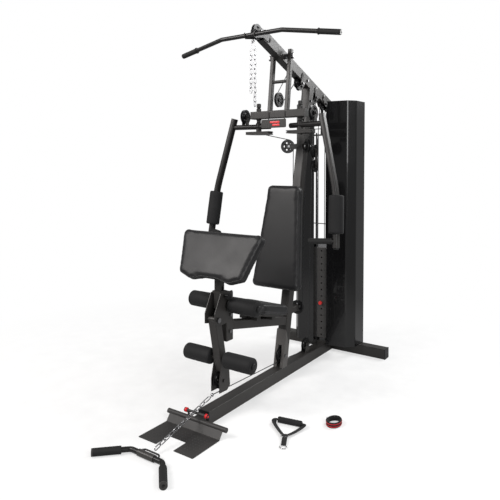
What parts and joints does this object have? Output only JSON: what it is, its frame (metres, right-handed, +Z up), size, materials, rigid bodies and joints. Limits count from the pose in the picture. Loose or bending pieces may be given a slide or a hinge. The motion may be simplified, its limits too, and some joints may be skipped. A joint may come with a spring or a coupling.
{
  "type": "multi station home gym",
  "caption": "Free-standing home gym: leaning upright with a sloping boom, weight tower, press and butterfly arms, seat, curl pad, leg developer, bars and cables.",
  "frame": {"origin": "on the floor, on the underside of the main base tube at the machine's mid-plane, 900 mm in front of the rear stabiliser's centre line", "axes": "+X to the right seen from the front, -Y the way the seated user faces, +Z up"},
  "size_m": [1.1388, 2.0439, 2.145],
  "materials": {
    "frame_paint": "satin powder coat",
    "tread_paint": "textured powder coat",
    "end_cap_plastic": "moulded",
    "vinyl": "grained vinyl",
    "foam": "closed-cell foam",
    "shroud_paint": "gloss",
    "bright_steel": "zinc plated",
    "rubber": "matte",
    "weight_plate": "satin",
    "pin_head": "moulded",
    "fastener": "zinc plated",
    "cable_jacket": "nylon jacket",
    "cover": "satin",
    "bar_paint": "satin",
    "webbing": "woven",
    "pulley_plastic": "moulded nylon"
  },
  "bodies": {
    "root": {"arm_cables": "cable_jacket", "back_pad": "vinyl", "fasteners": "fastener", "foot_plate": "tread_paint", "frame_end_caps": "end_cap_plastic", "front_bracket": "frame_paint", "guide_rods": "bright_steel", "high_cable": "cable_jacket", "low_cable": "cable_jacket", "main_base_tube": "frame_paint", "main_upright": "frame_paint", "pad_supports": "frame_paint", "pulley_brackets": "frame_paint", "rear_mast": "frame_paint", "rear_stabiliser": "frame_paint", "resting_plates": "weight_plate", "seat_pad": "vinyl", "seat_tube": "frame_paint", "shroud_left": "shroud_paint", "shroud_right": "shroud_paint", "stack_bumpers": "rubber", "top_boom": "frame_paint", "tower_brackets": "frame_paint", "upper_foam_rollers": "foam"},
    "stack": {"lifted_plates": "weight_plate", "selector_stem": "bright_steel"},
    "pin": {"selector_pin": "pin_head"},
    "press": {"press_frame": "frame_paint", "press_cover": "cover"},
    "fly_left": {"fly_arm_left": "frame_paint", "arm_grips_left": "foam"},
    "fly_right": {"fly_arm_right": "frame_paint", "arm_grips_right": "foam"},
    "developer": {"leg_developer": "frame_paint", "leg_foam_rollers": "foam"},
    "curl": {"curl_pad": "vinyl", "curl_post": "frame_paint"},
    "curl_knob": {"curl_knob": "end_cap_plastic"},
    "lat_hook": {"lat_chain": "bright_steel"},
    "lat_bar": {"lat_bar": "bar_paint"},
    "low_row": {"low_bar": "bar_paint", "low_chain": "bright_steel"},
    "block": {"floating_block": "frame_paint"},
    "strap_handle": {"strap_handle": "webbing"},
    "ankle_strap": {"ankle_strap": "webbing"},
    "lat_pulley": {"lat_pulley": "pulley_plastic"},
    "boom_front_pulley": {"boom_front_pulley": "pulley_plastic"},
    "boom_rear_pulley": {"boom_rear_pulley": "pulley_plastic"},
    "stack_pulley": {"stack_pulley": "pulley_plastic"},
    "press_pulley": {"press_pulley": "pulley_plastic"},
    "foot_pulley": {"foot_pulley": "pulley_plastic"},
    "base_pulley": {"base_pulley": "pulley_plastic"},
    "fly_return_pulley": {"fly_return_pulley": "pulley_plastic"},
    "leg_pulley": {"leg_pulley": "pulley_plastic"},
    "arm_pulley_left": {"arm_pulley_left": "pulley_plastic"},
    "arm_pulley_right": {"arm_pulley_right": "pulley_plastic"},
    "swivel_pulley_left": {"swivel_pulley_left": "pulley_plastic"},
    "swivel_pulley_right": {"swivel_pulley_right": "pulley_plastic"},
    "block_pulley_upper": {"block_pulley_upper": "pulley_plastic"},
    "block_pulley_lower": {"block_pulley_lower": "pulley_plastic"}
  },
  "joints": [
    {"name": "stack_lift", "type": "slide", "parent": "root", "child": "stack", "axis": [0, 0, 1], "range_m": [0, 0.55], "deforming": ["high_cable"]},
    {"name": "selector_pin_pull", "type": "slide", "parent": "stack", "child": "pin", "axis": [0, -1, 0], "range_m": [0, 0.04]},
    {"name": "press_swing", "type": "hinge", "parent": "root", "child": "press", "pos_m": [0, 0.2135, 2.002], "axis": [-1, 0, 0], "range_deg": [0, 27], "deforming": ["arm_cables"]},
    {"name": "fly_left_swing", "type": "hinge", "parent": "press", "child": "fly_left", "pos_m": [-0.15, 0.182, 1.6], "axis": [0, 0, 1], "range_deg": [0, 66]},
    {"name": "fly_right_swing", "type": "hinge", "parent": "press", "child": "fly_right", "pos_m": [0.15, 0.182, 1.6], "axis": [0, 0, -1], "range_deg": [0, 66]},
    {"name": "leg_developer_swing", "type": "hinge", "parent": "root", "child": "developer", "pos_m": [0, -0.47, 0.525], "axis": [-1, 0, 0], "range_deg": [0, 75]},
    {"name": "curl_pad_height", "type": "slide", "parent": "root", "child": "curl", "axis": [0, 0, 1], "range_m": [-0.04, 0]},
    {"name": "curl_knob_turn", "type": "hinge", "parent": "root", "child": "curl_knob", "pos_m": [0.04, -0.416, 0.646], "axis": [1, 0, 0], "continuous": true},
    {"name": "lat_pull", "type": "slide", "parent": "root", "child": "lat_hook", "axis": [0, 0, -1], "range_m": [0, 0.55], "deforming": ["high_cable"]},
    {"name": "lat_bar_lift", "type": "slide", "parent": "root", "child": "lat_bar", "axis": [0, 0, 1], "range_m": [0, 0.12]},
    {"name": "low_row_pull", "type": "slide", "parent": "root", "child": "low_row", "axis": [0, -0.9426, 0.3339], "range_m": [0, 0.5], "deforming": ["low_cable", "high_cable"]},
    {"name": "block_travel", "type": "slide", "parent": "root", "child": "block", "axis": [0, 0, -1], "range_m": [0, 0.25], "deforming": ["low_cable", "high_cable"]},
    {"name": "strap_handle_lift", "type": "slide", "parent": "root", "child": "strap_handle", "axis": [0, 0, 1], "range_m": [0, 0.3]},
    {"name": "ankle_strap_lift", "type": "slide", "parent": "root", "child": "ankle_strap", "axis": [0, 0, 1], "range_m": [0, 0.3]},
    {"name": "lat_pulley_spin", "type": "hinge", "parent": "root", "child": "lat_pulley", "pos_m": [0, -0.062, 2.1], "axis": [1, 0, 0], "continuous": true},
    {"name": "boom_front_pulley_spin", "type": "hinge", "parent": "root", "child": "boom_front_pulley", "pos_m": [0, 0.43, 1.865], "axis": [1, 0, 0], "continuous": true},
    {"name": "boom_rear_pulley_spin", "type": "hinge", "parent": "root", "child": "boom_rear_pulley", "pos_m": [0, 0.624, 1.795], "axis": [1, 0, 0], "continuous": true},
    {"name": "stack_pulley_spin", "type": "hinge", "parent": "root", "child": "stack_pulley", "pos_m": [0, 0.762, 1.765], "axis": [1, 0, 0], "continuous": true},
    {"name": "press_pulley_spin", "type": "hinge", "parent": "press", "child": "press_pulley", "pos_m": [0, 0.181, 1.735], "axis": [1, 0, 0], "continuous": true},
    {"name": "foot_pulley_spin", "type": "hinge", "parent": "root", "child": "foot_pulley", "pos_m": [0, 0.205, 0.142], "axis": [1, 0, 0], "continuous": true},
    {"name": "base_pulley_spin", "type": "hinge", "parent": "root", "child": "base_pulley", "pos_m": [0, 0.527, 0.118], "axis": [1, 0, 0], "continuous": true},
    {"name": "fly_return_pulley_spin", "type": "hinge", "parent": "root", "child": "fly_return_pulley", "pos_m": [0, 0.412, 0.4], "axis": [0, 1, 0], "continuous": true},
    {"name": "leg_pulley_spin", "type": "hinge", "parent": "developer", "child": "leg_pulley", "pos_m": [0, -0.416, 0.187], "axis": [1, 0, 0], "continuous": true},
    {"name": "arm_pulley_left_spin", "type": "hinge", "parent": "fly_left", "child": "arm_pulley_left", "pos_m": [-0.245, 0.17, 1.642], "axis": [1, 0, 0], "continuous": true},
    {"name": "arm_pulley_right_spin", "type": "hinge", "parent": "fly_right", "child": "arm_pulley_right", "pos_m": [0.245, 0.17, 1.642], "axis": [1, 0, 0], "continuous": true},
    {"name": "swivel_pulley_left_spin", "type": "hinge", "parent": "root", "child": "swivel_pulley_left", "pos_m": [-0.073, 0.41, 1.457], "axis": [0.7071, -0.7071, 0], "continuous": true},
    {"name": "swivel_pulley_right_spin", "type": "hinge", "parent": "root", "child": "swivel_pulley_right", "pos_m": [0.073, 0.41, 1.457], "axis": [0.7071, 0.7071, 0], "continuous": true},
    {"name": "block_pulley_upper_spin", "type": "hinge", "parent": "block", "child": "block_pulley_upper", "pos_m": [0, 0.645, 1.43], "axis": [1, 0, 0], "continuous": true},
    {"name": "block_pulley_lower_spin", "type": "hinge", "parent": "block", "child": "block_pulley_lower", "pos_m": [0, 0.645, 1.33], "axis": [1, 0, 0], "continuous": true}
  ],
  "couplings": [
    {"joint": "lat_pull", "follows": "stack_lift", "ratio": 1},
    {"joint": "block_travel", "follows": "low_row_pull", "ratio": 0.5}
  ]
}
